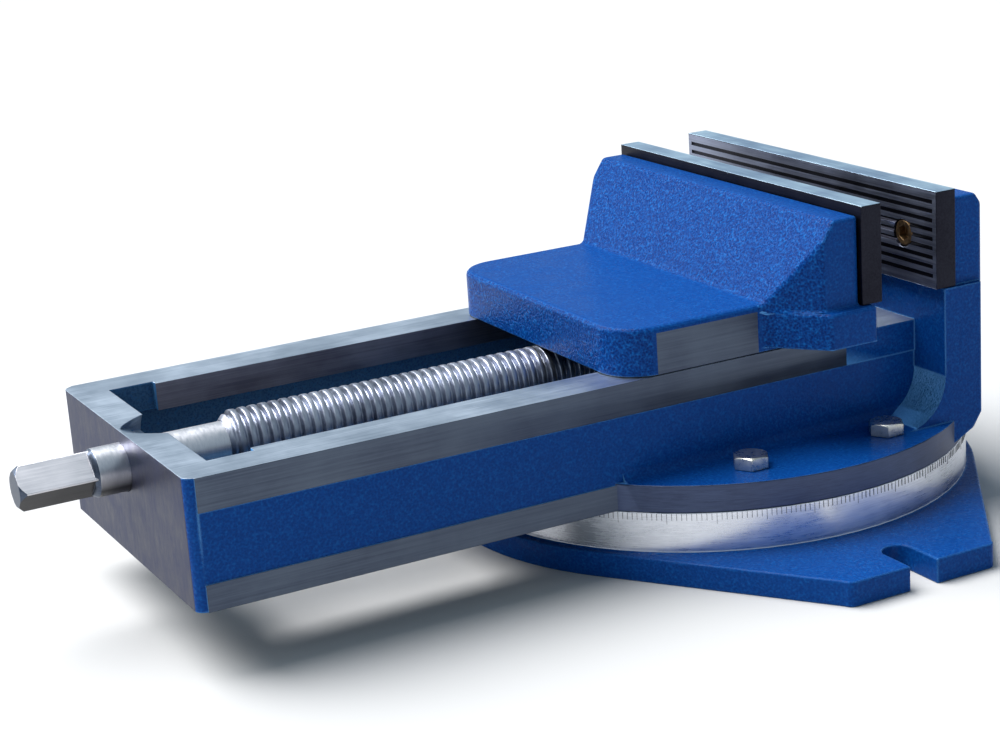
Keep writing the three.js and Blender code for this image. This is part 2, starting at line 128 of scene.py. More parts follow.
def objectPoint(tree, stretch=(1, 1, 1)):
    place = addNode(tree, "ShaderNodeTexCoord").outputs["Object"]
    return addNode(tree, "ShaderNodeMapping", [("Vector", place)], Scale=stretch).outputs["Vector"]


def noise(tree, point, scale, detail=2.0, rough=0.5):
    return addNode(tree, "ShaderNodeTexNoise", [("Vector", point)],
                   Scale=scale, Detail=detail, Roughness=rough).outputs["Fac"]


def ramp(tree, factor, stops):
    node = addNode(tree, "ShaderNodeValToRGB", [("Fac", factor)])
    elements = node.color_ramp.elements
    for element, (spot, colour) in zip(elements, (stops[0], stops[-1])):
        element.position, element.color = spot, (*colour, 1)
    for spot, colour in stops[1:-1]:
        elements.new(spot).color = (*colour, 1)
    return node.outputs["Color"]


def remap(tree, value, low, high, toLow, toHigh):
    node = addNode(tree, "ShaderNodeMapRange", [("Value", value)])
    for socket, number in zip(("From Min", "From Max", "To Min", "To Max"),
                              (low, high, toLow, toHigh)):
        node.inputs[socket].default_value = number
    return node.outputs["Result"]


def bump(tree, height, strength, depth, under=None):
    links = [("Height", height)] + ([("Normal", under)] if under else [])
    return addNode(tree, "ShaderNodeBump", links, Strength=strength, Distance=depth).outputs["Normal"]


def softNormal(tree, radius):
    # eases the shading over every edge, as paint and a file do
    return addNode(tree, "ShaderNodeBevel", samples=4, Radius=radius).outputs["Normal"]


paint = {
    "pale": (0.008, 0.120, 0.400), "colour": (0.003, 0.055, 0.250), "dark": (0.001, 0.020, 0.130),
    "roughness": (0.20, 0.34), "specular": 0.06, "edge": 0.0016,
    # the next two entries paint a paler blue over every edge, hollow ones too, as a painted highlight
    "wearAndEdgeHighlight": (0.12, 0.38, 0.80), "paintedHighlight": 0.75,
    "hammerScale": 800.0, "hammerDepth": 0.0007,
    "castScale": 70.0, "castDepth": 0.0012, "castStrength": 0.14,
}


def edgeMask(tree, eased):
    # 0 on open faces, 1 where the shading turns over an edge
    true = addNode(tree, "ShaderNodeNewGeometry").outputs["True Normal"]
    alike = addNode(tree, "ShaderNodeVectorMath", [(0, eased), (1, true)],
                    operation="DOT_PRODUCT").outputs["Value"]
    return remap(tree, alike, 0.97, 0.84, 0, 1)


def blend(tree, factor, low, high):
    node = addNode(tree, "ShaderNodeMix", data_type="RGBA")
    tree.links.new(factor, node.inputs[0])
    for socket, value in ((node.inputs[6], low), (node.inputs[7], high)):
        if isinstance(value, tuple):
            socket.default_value = (*value, 1)
        else:
            tree.links.new(value, socket)
    return node.outputs[2]


def paintMaterial(name, hammer, mottle, middle=None):
    middle = middle or paint["colour"]
    mat, tree, shader = newMaterial(name, middle, 0.3)
    point = objectPoint(tree)
    cells = addNode(tree, "ShaderNodeTexVoronoi", [("Vector", point)],
                    Scale=paint["hammerScale"], feature="SMOOTH_F1").outputs["Distance"]
    fine = noise(tree, point, paint["hammerScale"] * 1.2, 3, 0.6)
    broad = noise(tree, point, paint["castScale"], 4, 0.55)
    pebble = addNode(tree, "ShaderNodeMath", [(0, cells), (1, fine)], operation="MULTIPLY").outputs[0]
    tint = remap(tree, pebble, 0.08, 0.42, 0.5 - 0.5 * mottle, 0.5 + 0.5 * mottle)
    colour = ramp(tree, tint, [(0.0, paint["dark"]), (0.5, middle), (1.0, paint["pale"])])
    eased = softNormal(tree, paint["edge"])
    # painted highlight: a paler blue mixed in wherever the shading turns over an edge
    paintedHighlight = calc(tree, "MULTIPLY", edgeMask(tree, eased), paint["paintedHighlight"])
    tree.links.new(blend(tree, paintedHighlight, colour, paint["wearAndEdgeHighlight"]), shader.inputs["Base Color"])
    tree.links.new(remap(tree, broad, 0.3, 0.7, *paint["roughness"]), shader.inputs["Roughness"])
    lumps = bump(tree, broad, paint["castStrength"], paint["castDepth"], eased)
    tree.links.new(bump(tree, pebble, hammer, paint["hammerDepth"], lumps), shader.inputs["Normal"])
    shader.inputs["Specular IOR Level"].default_value = paint["specular"]
    return mat


metalEdge = 0.0006


def metalMaterial(name, pale, dark, roughness, grain, grainScale=900.0, depth=0.00005, stain=22.0,
                  below=1.0):
    # a small number in grain draws the tool marks out along that axis; below paints shade on the
    # faces that turn downward
    mat, tree, shader = newMaterial(name, pale, roughness[0], 1.0)
    marks = noise(tree, objectPoint(tree, grain), grainScale, 4, 0.7)
    cloud = noise(tree, objectPoint(tree), stain, 4, 0.6)
    both = addNode(tree, "ShaderNodeMath", [(0, marks), (1, cloud)], operation="ADD").outputs[0]
    colour = ramp(tree, remap(tree, both, 0.78, 1.22, 0, 1), [(0.0, dark), (1.0, pale)])
    # painted shade: faces turned downward take the dark tone, dimmed further by below
    if below < 1.0:
        facing = addNode(tree, "ShaderNodeTexCoord").outputs["Normal"]
        height = addNode(tree, "ShaderNodeSeparateXYZ", [("Vector", facing)]).outputs["Z"]
        shaded = tuple(below * part for part in dark)
        colour = blend(tree, remap(tree, height, 0.1, -0.55, 0, 1), colour, shaded)
    tree.links.new(colour, shader.inputs["Base Color"])
    tree.links.new(remap(tree, both, 0.75, 1.25, *roughness), shader.inputs["Roughness"])
    eased = softNormal(tree, metalEdge)
    tree.links.new(bump(tree, marks, 0.4, depth, eased), shader.inputs["Normal"])
    return mat


def floorMaterial():
    mat, tree, shader = newMaterial("pale_floor", studio["floorColour"], 0.9)
    soft = noise(tree, objectPoint(tree), 1.5, 2, 0.4)
    pale = studio["floorColour"]
    near = tuple(0.985 * part for part in pale)
    tree.links.new(ramp(tree, soft, [(0.3, near), (0.7, pale)]), shader.inputs["Base Color"])
    shader.inputs["Specular IOR Level"].default_value = 0.1
    return mat


def inkMaterial():
    mat, tree, shader = newMaterial("scale_ink", (0.02, 0.02, 0.025), 0.6)
    wearAndEdgeHighlight = noise(tree, objectPoint(tree), 300, 2, 0.5)
    tree.links.new(ramp(tree, wearAndEdgeHighlight, [(0.3, (0.015, 0.015, 0.02)), (0.7, (0.05, 0.05, 0.06))]),
                   shader.inputs["Base Color"])
    return mat


def makeFinishes():
    lengthwise, crosswise, even = (0.02, 1, 1), (1, 0.02, 1), (1, 1, 1)
    made = {
        "floor": floorMaterial(),
        "castPaint": paintMaterial("blue_enamel", 0.45, 0.45),
        "wellPaint": paintMaterial("dusty_inner_enamel", 0.45, 0.45, (0.05, 0.13, 0.24)),
        "hammerPaint": paintMaterial("blue_hammered_enamel", 1.0, 1.0),
        "groundTop": metalMaterial("ground_iron", (0.60, 0.68, 0.78), (0.46, 0.54, 0.64),
                                   (0.32, 0.46), lengthwise),
        "scoopIron": metalMaterial("scooped_iron", (0.36, 0.46, 0.58), (0.24, 0.32, 0.43),
                                   (0.4, 0.55), even, 200.0),
        # milled iron kept far darker than the ground tops: partly its own milled finish, partly
        # painted shade on the flanks and undersides
        "milledSide": metalMaterial("milled_iron_painted_shade", (0.105, 0.130, 0.175), (0.058, 0.072, 0.105),
                                    (0.34, 0.5), lengthwise),
        "wayFace": metalMaterial("inner_way", (0.23, 0.23, 0.28), (0.13, 0.13, 0.17),
                                 (0.34, 0.5), lengthwise),
        "frontFace": metalMaterial("milled_front_face", (0.036, 0.044, 0.100), (0.012, 0.016, 0.048),
                                   (0.34, 0.5), (0.5, 0.8, 0.25), 420.0, 0.00018, 60.0),
        "turnedRim": metalMaterial("turned_rim", (0.080, 0.105, 0.185), (0.045, 0.058, 0.105),
                                   (0.32, 0.5), (0.2, 0.2, 3), 400.0),
        "turnedRing": metalMaterial("turned_ring", (0.88, 0.90, 0.95), (0.62, 0.64, 0.70),
                                    (0.24, 0.38), (0.15, 0.15, 3), 500.0),
        # below darkens the downward faces of these screw steels as painted shade
        "threadSteel": metalMaterial("thread_steel", (0.56, 0.59, 0.67), (0.34, 0.36, 0.43),
                                     (0.30, 0.42), (2, 0.4, 0.4), 500.0, below=0.35),
        "brightSteel": metalMaterial("bright_screw_steel", (0.92, 0.91, 0.94), (0.74, 0.74, 0.78),
                                     (0.30, 0.44), (2, 0.4, 0.4), 500.0, below=0.10),
        "drawnSteel": metalMaterial("drawn_steel", (0.86, 0.84, 0.87), (0.70, 0.69, 0.72),
                                    (0.40, 0.54), lengthwise, below=0.08),
        "blackSteel": metalMaterial("blackened_steel", (0.024, 0.025, 0.036), (0.010, 0.010, 0.016),
                                    (0.34, 0.5), crosswise),
        "gripSteel": metalMaterial("grip_face_steel", (0.32, 0.35, 0.46), (0.19, 0.21, 0.28),
                                   (0.34, 0.5), crosswise),
        # plate tops in pale sky blue against the blackened sides: partly bright ground steel, partly
        # painted reflection
        "plateEdge": metalMaterial("ground_plate_top_painted_reflection", (0.68, 0.88, 1.0), (0.46, 0.62, 0.84),
                                   (0.30, 0.44), crosswise),
        "zinc": metalMaterial("zinc_plate", (0.80, 0.79, 0.72), (0.60, 0.59, 0.52),
                              (0.22, 0.38), even, 300.0),
        "brassy": metalMaterial("dull_brassy_steel", (0.34, 0.22, 0.10), (0.12, 0.075, 0.045),
                                (0.4, 0.6), even, 400.0),
        "bronze": metalMaterial("bronze", (0.62, 0.42, 0.18), (0.42, 0.27, 0.10),
                                (0.24, 0.4), lengthwise),
        "oilBlack": metalMaterial("oiled_black_steel", (0.07, 0.07, 0.075), (0.03, 0.03, 0.033),
                                  (0.3, 0.45), even, 300.0),
        "ink": inkMaterial(),
    }
    print("finishes:", len(made))
    return made


# Mesh helpers

def link(name, mesh):
    piece = bpy.data.objects.new(name, mesh)
    scene.collection.objects.link(piece)
    return piece


def baked(piece):
    # the evaluated shape as a plain mesh, under the same name
    depsgraph = bpy.context.evaluated_depsgraph_get()
    mesh = bpy.data.meshes.new_from_object(piece.evaluated_get(depsgraph))
    name = piece.name
    bpy.data.objects.remove(piece)
    mesh.name = name
    return link(name, mesh)


def copyOfNode(node, name, beyond=None):
    # a merged copy with whole flat faces; beyond=(point, normal) cuts away what lies past a plane
    shape = bmesh.new()
    shape.from_mesh(nodes[node].data)
    bmesh.ops.remove_doubles(shape, verts=shape.verts, dist=0.00001)
    if beyond:
        everything = shape.verts[:] + shape.edges[:] + shape.faces[:]
        bmesh.ops.bisect_plane(shape, geom=everything, plane_co=beyond[0], plane_no=beyond[1],
                               clear_outer=True)
        bmesh.ops.holes_fill(shape, edges=[e for e in shape.edges if e.is_boundary], sides=0)
    bmesh.ops.dissolve_limit(shape, angle_limit=math.radians(0.6), use_dissolve_boundaries=False,
                             verts=shape.verts, edges=shape.edges)
    mesh = bpy.data.meshes.new(name)
    shape.to_mesh(mesh)
    shape.free()
    return link(name, mesh)


def roundEdges(piece, widthOf, segments=3, angle=24):
    # widthOf(edge middle, face normals, hollow) gives the rounding of each edge, in metres
    shape = bmesh.new()
    shape.from_mesh(piece.data)
    layer = shape.edges.layers.float.new("bevel_weight_edge")
    widths = {}
    for edge in shape.edges:
        if len(edge.link_faces) == 2 and edge.calc_face_angle(0) > math.radians(angle):
            middle = (edge.verts[0].co + edge.verts[1].co) / 2
            widths[edge] = widthOf(middle, [face.normal for face in edge.link_faces],
                                   not edge.is_convex)
    most = max(list(widths.values()) + [0.00001])
    for edge, width in widths.items():
        edge[layer] = width / most
    shape.to_mesh(piece.data)
    shape.free()
    rounding = piece.modifiers.new("rounded", "BEVEL")
    rounding.limit_method = "WEIGHT"
    rounding.width = most
    rounding.segments = segments
    rounding.use_clamp_overlap = False
    rounding.miter_outer = "MITER_ARC"
    return evened(baked(piece))


def evened(piece, angle=38):
    # smooth shading that leaves the flat faces flat
    for polygon in piece.data.polygons:
        polygon.use_smooth = True
    piece.data.set_sharp_from_angle(angle=math.radians(angle))
    even = piece.modifiers.new("even", "WEIGHTED_NORMAL")
    even.keep_sharp = True
    even.weight = 100
    return baked(piece)


def finishFaces(piece, finishes, keys, choose):
    # choose(centre, normal) names the finish of each face
    piece.data.materials.clear()
    for key in keys:
        piece.data.materials.append(finishes[key])
    for polygon in piece.data.polygons:
        polygon.material_index = keys.index(choose(polygon.center, polygon.normal))
    return piece


def settle(piece, body, slot, *replaced):
    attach(piece, body)
    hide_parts(*replaced)
    print(piece.name, "on", body, "faces", len(piece.data.polygons))


# Geometry Nodes helpers

def newTree(name, sizes, takesMesh=False):
    # sizes names each input and gives its usual value
    tree = bpy.data.node_groups.new(name, "GeometryNodeTree")
    if takesMesh:
        tree.interface.new_socket("Mesh", in_out="INPUT", socket_type="NodeSocketGeometry")
    kinds = {int: "NodeSocketInt", float: "NodeSocketFloat", tuple: "NodeSocketVector"}
    for label, value in sizes.items():
        socket = tree.interface.new_socket(label, in_out="INPUT", socket_type=kinds[type(value)])
        socket.default_value = value
    tree.interface.new_socket("Finish", in_out="INPUT", socket_type="NodeSocketMaterial")
    tree.interface.new_socket("Mesh", in_out="OUTPUT", socket_type="NodeSocketGeometry")
    return tree, addNode(tree, "NodeGroupInput").outputs


def endTree(tree, made, sizes):
    whole = addNode(tree, "GeometryNodeRealizeInstances", [("Geometry", made)]).outputs[0]
    dressed = addNode(tree, "GeometryNodeSetMaterial",
                      [("Geometry", whole), ("Material", sizes["Finish"])]).outputs[0]
    addNode(tree, "NodeGroupOutput", [("Mesh", dressed)])
    return tree


def grow(host, tree, sizes, finish):
    # runs a tree on a host object and keeps the result as a plain mesh
    modifier = host.modifiers.new("grown", "NODES")
    modifier.node_group = tree
    for socket in tree.interface.items_tree:
        if socket.in_out == "INPUT" and socket.name in sizes:
            modifier[socket.identifier] = sizes[socket.name]
        if socket.in_out == "INPUT" and socket.name == "Finish":
            modifier[socket.identifier] = finish
    return baked(host)


def calc(tree, operation, *values):
    node = addNode(tree, "ShaderNodeMath", operation=operation)
    for socket, value in zip(node.inputs, values):
        if isinstance(value, (int, float)):
            socket.default_value = value
        else:
            tree.links.new(value, socket)
    return node.outputs[0]


def vector(tree, *parts):
    node = addNode(tree, "ShaderNodeCombineXYZ")
    for socket, value in zip(node.inputs, parts):
        if isinstance(value, (int, float)):
            socket.default_value = value
        else:
            tree.links.new(value, socket)
    return node.outputs[0]


def moved(tree, geometry, place=None, turn=None):
    links = [("Geometry", geometry)]
    links += [("Translation", place)] if place else []
    links += [("Rotation", turn)] if turn else []
    return addNode(tree, "GeometryNodeTransform", links).outputs[0]


def rod(tree, radius, length, sides):
    # a closed cylinder standing on the origin along Z
    disc = addNode(tree, "GeometryNodeMeshCylinder", [("Radius", radius), ("Depth", length)],
                   Vertices=sides).outputs["Mesh"]
    return moved(tree, disc, vector(tree, 0, 0, calc(tree, "MULTIPLY", length, 0.5)))


def frustum(tree, low, high, height, sides):
    cone = addNode(tree, "GeometryNodeMeshCone",
                   [("Radius Bottom", low), ("Radius Top", high), ("Depth", height)],
                   Vertices=sides)
    return cone.outputs["Mesh"]


def boolean(tree, operation, first, *others):
    node = addNode(tree, "GeometryNodeMeshBoolean", operation=operation, solver="EXACT")
    if operation == "DIFFERENCE":
        tree.links.new(first, node.inputs["Mesh 1"])
    else:
        others = (first, *others)
    for other in others:
        tree.links.new(other, node.inputs["Mesh 2"])
    return node.outputs["Mesh"]


# Castings. Heights, reaches and radii in metres, as machined.
bed = {
    "halfWidth": 0.0986, "upperBand": (0.0886, 0.1066), "lowerBand": (0.037, 0.0513),
    "bandEnd": 0.034, "top": 0.1066, "wallInner": -0.3349, "wellBack": 0.0685,
    "wellHalf": 0.0825, "wayHalf": 0.0711, "lip": 0.0910,
    "screwHeight": 0.0871, "scoopRadius": 0.0285, "scoopFloor": 0.0956,
    "flangeRadius": 0.153, "flangeTop": 0.052, "cutTop": 0.057,
    "castRound": 0.0016, "machinedEdge": 0.0005,
    "headFoot": 0.1366, "headFront": 0.085, "columnFront": 0.07,
}
near = 0.0003  # how close a face lies to the plane that it belongs to


def bodyFinish(centre, normal):
    radius = math.hypot(centre.x, centre.y)
    inBand = any(low < centre.z < high for low, high in (bed["upperBand"], bed["lowerBand"]))
    if normal.z > 0.98 and abs(centre.z - bed["top"]) < near:
        return "groundTop"
    # the milled flanks take the dark milled finish, which is partly painted shade
    if abs(normal.y) > 0.98 and inBand and abs(abs(centre.y) - bed["halfWidth"]) < near:
        return "milledSide" if centre.x < bed["bandEnd"] else "castPaint"
    if normal.x < -0.98 and centre.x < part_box("vise_body")[0][0] + near:
        return "frontFace"
    onWay = abs(normal.y) > 0.98 and abs(abs(centre.y) - bed["wayHalf"]) < near
    if onWay and centre.z > bed["lip"]:
        return "wayFace"
    fromScrew = math.hypot(centre.y, centre.z - bed["screwHeight"])
    inScoop = centre.x < bed["wallInner"] + near and fromScrew < bed["scoopRadius"]
    if inScoop and centre.z > bed["scoopFloor"]:
        return "scoopIron"
    if centre.x < bed["wellBack"] and abs(centre.y) < bed["wellHalf"] and normal.z > -0.5:
        return "wellPaint"
    if normal.z < -0.9:
        return "milledSide"
    if centre.z < bed["flangeTop"] and abs(radius - bed["flangeRadius"]) < 0.001:
        return "turnedRim"
    if centre.z < bed["cutTop"] and radius > bed["flangeRadius"] and normal.z < -0.05:
        return "turnedRim"
    return "castPaint"


def bodyEdge(middle, normals, hollow):
    # only edges that run clear of the shallow steps and of the lathe's cut are rounded here
    if middle.z > bed["headFoot"] and middle.x > bed["headFront"]:
        return bed["castRound"]
    onRim = abs(math.hypot(middle.x, middle.y) - bed["flangeRadius"]) < 0.001
    if onRim and middle.z > bed["flangeTop"] - near and middle.x < bed["columnFront"]:
        return bed["machinedEdge"]
    return 0.0


def score(piece, planes):
    # lines across the machined flanks, so that the bare patch and the paint are faces of their own
    shape = bmesh.new()
    shape.from_mesh(piece.data)
    for place, normal in planes:
        flank = [face for face in shape.faces
                 if abs(face.normal.y) > 0.99 and abs(abs(face.calc_center_median().y)
                                                      - bed["halfWidth"]) < near]
        around = {part for face in flank for part in (*face.verts, *face.edges, face)}
        bmesh.ops.bisect_plane(shape, geom=list(around), plane_co=place, plane_no=normal)
    shape.to_mesh(piece.data)
    shape.free()


def makeBody(finishes):
    piece = roundEdges(copyOfNode("vise_body", "vise_casting"), bodyEdge)
    score(piece, [((bed["bandEnd"], 0, 0), (1, 0, 0))])
    keys = ["castPaint", "wellPaint", "scoopIron", "groundTop", "milledSide", "wayFace", "frontFace",
            "turnedRim"]
    finishFaces(piece, finishes, keys, bodyFinish)
    settle(piece, "body", "blue_paint", "vise_body")


base = {"plateTop": 0.014, "ringInside": 0.12, "plateOnly": 0.15,
        "ringEdge": 0.0004, "topEdge": 0.0012, "footEdge": 0.0008}


def makeBase(finishes):
    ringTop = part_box("swivel_base")[1][2]
    ringFoot = base["plateTop"] + 0.0008

    def edgeWidth(middle, normals, hollow):
        if middle.z > base["plateTop"] + 0.001:
            return base["ringEdge"]
        return base["topEdge"] if middle.z > 0.001 else base["footEdge"]

    def finish(centre, normal):
        radius = math.hypot(centre.x, centre.y)
        if centre.z > ringTop - near and normal.z > 0.9:
            return "groundTop"
        if normal.z < -0.9 and centre.z < 0.0005:
            return "milledSide"
        if centre.z > ringFoot and radius > base["ringInside"]:
            return "turnedRing"
        return "castPaint" if radius > base["plateOnly"] or centre.z < ringFoot else "milledSide"

    piece = roundEdges(copyOfNode("swivel_base", "swivel_base_casting"), edgeWidth)
    finishFaces(piece, finishes, ["castPaint", "groundTop", "milledSide", "turnedRing"], finish)
    settle(piece, "base", "blue_paint", "swivel_base")


jaw = {
    "flatSide": (-0.088, -0.024, 0.1069, 0.130), "apronTop": 0.1336, "uprightFoot": -0.01,
    "underside": 0.1075, "lowEdges": 0.1095, "hollowsFrom": 0.13,
    "sharp": 0.0004, "apronRound": 0.0030, "sideRound": 0.0010, "castRound": 0.0022,
}


def makeMovingJaw(finishes):
    x0, x1, z0, z1 = jaw["flatSide"]

    def edgeWidth(middle, normals, hollow):
        if middle.z < jaw["lowEdges"]:
            return jaw["sharp"]
        onApron = middle.z < jaw["apronTop"] + 0.001 and middle.x < jaw["uprightFoot"]
        if onApron and not hollow:
            return jaw["apronRound"] if middle.z > jaw["apronTop"] - 0.001 else jaw["sideRound"]
        return jaw["apronRound"] if hollow and middle.z > jaw["hollowsFrom"] else jaw["castRound"]

    def finish(centre, normal):
        flank = abs(normal.y) > 0.98 and abs(abs(centre.y) - bed["halfWidth"]) < 0.0004
        if flank and x0 < centre.x < x1 and z0 < centre.z < z1:
            return "milledSide"
        if centre.z < jaw["underside"]:
            return "milledSide"
        onTop = normal.z > 0.9 and centre.x < 0
        return "hammerPaint" if normal.x < -0.2 and not onTop else "castPaint"

    piece = roundEdges(copyOfNode("moving_jaw", "moving_jaw_casting"), edgeWidth)
    score(piece, [((x0, 0, 0), (1, 0, 0)), ((x1, 0, 0), (1, 0, 0)), ((0, 0, z1), (0, 0, 1))])
    finishFaces(piece, finishes, ["castPaint", "hammerPaint", "milledSide"], finish)
    settle(piece, "slide", "blue_paint", "moving_jaw")


grip = {
    "grooves": 9, "pitch": 0.0052, "width": 0.0016, "margin": 0.0035, "firstDown": 0.0061,
    "clear": 0.002, "edge": 0.0005,
}


def grooveTree():
    # cuts a row of straight grooves into the face of a plate
    tree, sizes = newTree("grip_grooves", {
        "Count": 9, "Pitch": 0.005, "Width": 0.002, "Length": 0.24, "Place": (0.0, 0.0, 0.0)}, True)
    cube = addNode(tree, "GeometryNodeMeshCube", [
        ("Size", vector(tree, sizes["Width"], sizes["Length"], sizes["Width"]))]).outputs["Mesh"]
    wedge = moved(tree, cube, turn=vector(tree, 0, math.pi / 4, 0))
    step = vector(tree, 0, 0, calc(tree, "MULTIPLY", sizes["Pitch"], -1))
    row = addNode(tree, "GeometryNodeMeshLine", [
        ("Count", sizes["Count"]), ("Start Location", sizes["Place"]), ("Offset", step)])
    tools = addNode(tree, "GeometryNodeInstanceOnPoints",
                    [("Points", row.outputs[0]), ("Instance", wedge)]).outputs[0]
    bars = addNode(tree, "GeometryNodeRealizeInstances", [("Geometry", tools)]).outputs[0]
    return endTree(tree, boolean(tree, "DIFFERENCE", sizes["Mesh"], bars), sizes)


def makePlate(finishes, tree, node, name, body, faceX):
    low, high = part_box(node)

    def finish(centre, normal):
        # the top face takes the pale sky-blue finish, partly a painted reflection
        if normal.z > 0.9 and centre.z > high[2] - grip["edge"]:
            return "plateEdge"
        onFace = abs(normal.x) > 0.98 and abs(centre.x - faceX) < near
        return "gripSteel" if onFace else "blackSteel"

    def edgeWidth(middle, normals, hollow):
        acrossPlate = low[1] + grip["clear"] < middle.y < high[1] - grip["clear"]
        return 0.0 if acrossPlate and middle.z < high[2] - grip["edge"] * 2 else grip["edge"]

    cut = grow(copyOfNode(node, name), tree, {
        "Count": grip["grooves"], "Pitch": grip["pitch"], "Width": grip["width"],
        "Length": high[1] - low[1] - 2 * grip["margin"],
        "Place": (faceX, 0.0, high[2] - grip["firstDown"])}, finishes["blackSteel"])
    piece = roundEdges(cut, edgeWidth, segments=2)
    for vertex in piece.data.vertices:  # the rounding stays inside the machined size
        vertex.co = [min(max(part, least), most) for part, least, most in zip(vertex.co, low, high)]
    finishFaces(piece, finishes, ["blackSteel", "gripSteel", "plateEdge"], finish)
    settle(piece, body, "black_steel", node)


screwSizes = {
    "pitch": 0.006, "radius": 0.018, "depth": 0.0029, "shank": 0.013, "squareEnd": 0.042,
    "start": -0.2993, "sides": 64, "rowsPerTurn": 14,
}


def threadTree():
    # a left-hand thread along X, closed at both ends
    tree, sizes = newTree("lead_thread", {
        "Start": -0.3, "Length": 0.34, "Pitch": 0.006, "Radius": 0.018, "Depth": 0.003,
        "Shank": 0.013, "Height": 0.087, "Rows": 500, "Sides": 49})
    grid = addNode(tree, "GeometryNodeMeshGrid",
                   [("Vertices X", sizes["Rows"]), ("Vertices Y", sizes["Sides"])])
    grid.inputs["Size X"].default_value = grid.inputs["Size Y"].default_value = 1
    spot = addNode(tree, "ShaderNodeSeparateXYZ",
                   [("Vector", addNode(tree, "GeometryNodeInputPosition").outputs[0])]).outputs
    alongPart = calc(tree, "ADD", spot["X"], 0.5)
    around = calc(tree, "ADD", spot["Y"], 0.5)
    run = calc(tree, "MULTIPLY", alongPart, sizes["Length"])
    turns = calc(tree, "ADD", calc(tree, "DIVIDE", run, sizes["Pitch"]), around)
    phase = calc(tree, "ABSOLUTE", calc(tree, "SUBTRACT", calc(tree, "FRACT", turns), 0.5))
    groove = addNode(tree, "ShaderNodeMapRange", [("Value", phase)],
                     interpolation_type="SMOOTHSTEP")
    for socket, number in zip(("From Min", "From Max", "To Min", "To Max"), (0.26, 0.37, 0, 1)):
        groove.inputs[socket].default_value = number
    crown = calc(tree, "MULTIPLY", calc(tree, "MULTIPLY", phase, phase), 0.5)
    drop = calc(tree, "MULTIPLY", calc(tree, "ADD", groove.outputs["Result"], crown), sizes["Depth"])
    thread = calc(tree, "SUBTRACT", sizes["Radius"], drop)
    lead = calc(tree, "ADD", sizes["Shank"], run)
    left = calc(tree, "SUBTRACT", sizes["Length"], run)
    tail = calc(tree, "ADD", sizes["Shank"], left)
    radius = calc(tree, "MINIMUM", thread, calc(tree, "MINIMUM", lead, tail))
    inside = calc(tree, "COMPARE", alongPart, 0.5, 0.4999)
    radius = calc(tree, "MULTIPLY", radius, inside)  # the first and last rows close on the axis
    angle = calc(tree, "MULTIPLY", around, 2 * math.pi)
    y = calc(tree, "MULTIPLY", radius, calc(tree, "COSINE", angle))
    z = calc(tree, "ADD", sizes["Height"], calc(tree, "MULTIPLY", radius, calc(tree, "SINE", angle)))
    place = vector(tree, calc(tree, "ADD", sizes["Start"], run), y, z)
    bent = addNode(tree, "GeometryNodeSetPosition",
                   [("Geometry", grid.outputs["Mesh"]), ("Position", place)]).outputs[0]
    closed = addNode(tree, "GeometryNodeMergeByDistance", [("Geometry", bent)],
                     Distance=0.00001).outputs[0]
    return endTree(tree, closed, sizes)


def makeScrew(finishes):
    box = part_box("lead_screw")
    height = (box[0][2] + box[1][2]) / 2
    start = screwSizes["start"]
    length = box[1][0] - start
    thread = grow(link("lead_screw_thread", bpy.data.meshes.new("seed")), threadTree(), {
        "Start": start, "Length": length, "Pitch": screwSizes["pitch"],
        "Radius": screwSizes["radius"], "Depth": screwSizes["depth"],
        "Shank": screwSizes["shank"] - 0.0002, "Height": height,
        "Rows": int(length / screwSizes["pitch"] * screwSizes["rowsPerTurn"]),
        "Sides": screwSizes["sides"] + 1}, finishes["threadSteel"])
    shape = bmesh.new()
    shape.from_mesh(thread.data)
    bmesh.ops.recalc_face_normals(shape, faces=shape.faces)
    shape.to_mesh(thread.data)
    shape.free()
    thread = evened(thread, 60)
    settle(thread, "screw", "bright_steel", "lead_screw")
    shank = copyOfNode("lead_screw", "lead_screw_shank", ((start + 0.0004, 0, 0), (1, 0, 0)))
    shank = evened(shank, 24)

    def finish(centre, normal):
        if normal.x < -0.5:
            return "milledSide"
        onSquare = centre.x < box[0][0] + screwSizes["squareEnd"]
        return "drawnSteel" if onSquare else "brightSteel"

    finishFaces(shank, finishes, ["drawnSteel", "brightSteel", "milledSide"], finish)
    settle(shank, "screw", "bright_steel", "lead_screw")


capScrews = {
    "plate": {"Shank": 0.010, "Head": 0.0155, "Head Height": 0.008, "Grip": 0.024, "Socket": 0.008},
    "nut": {"Shank": 0.010, "Head": 0.016, "Head Height": 0.009, "Grip": 0.062, "Socket": 0.008},
    "keeper": {"Shank": 0.008, "Head": 0.013, "Head Height": 0.007, "Grip": 0.026, "Socket": 0.006},
}


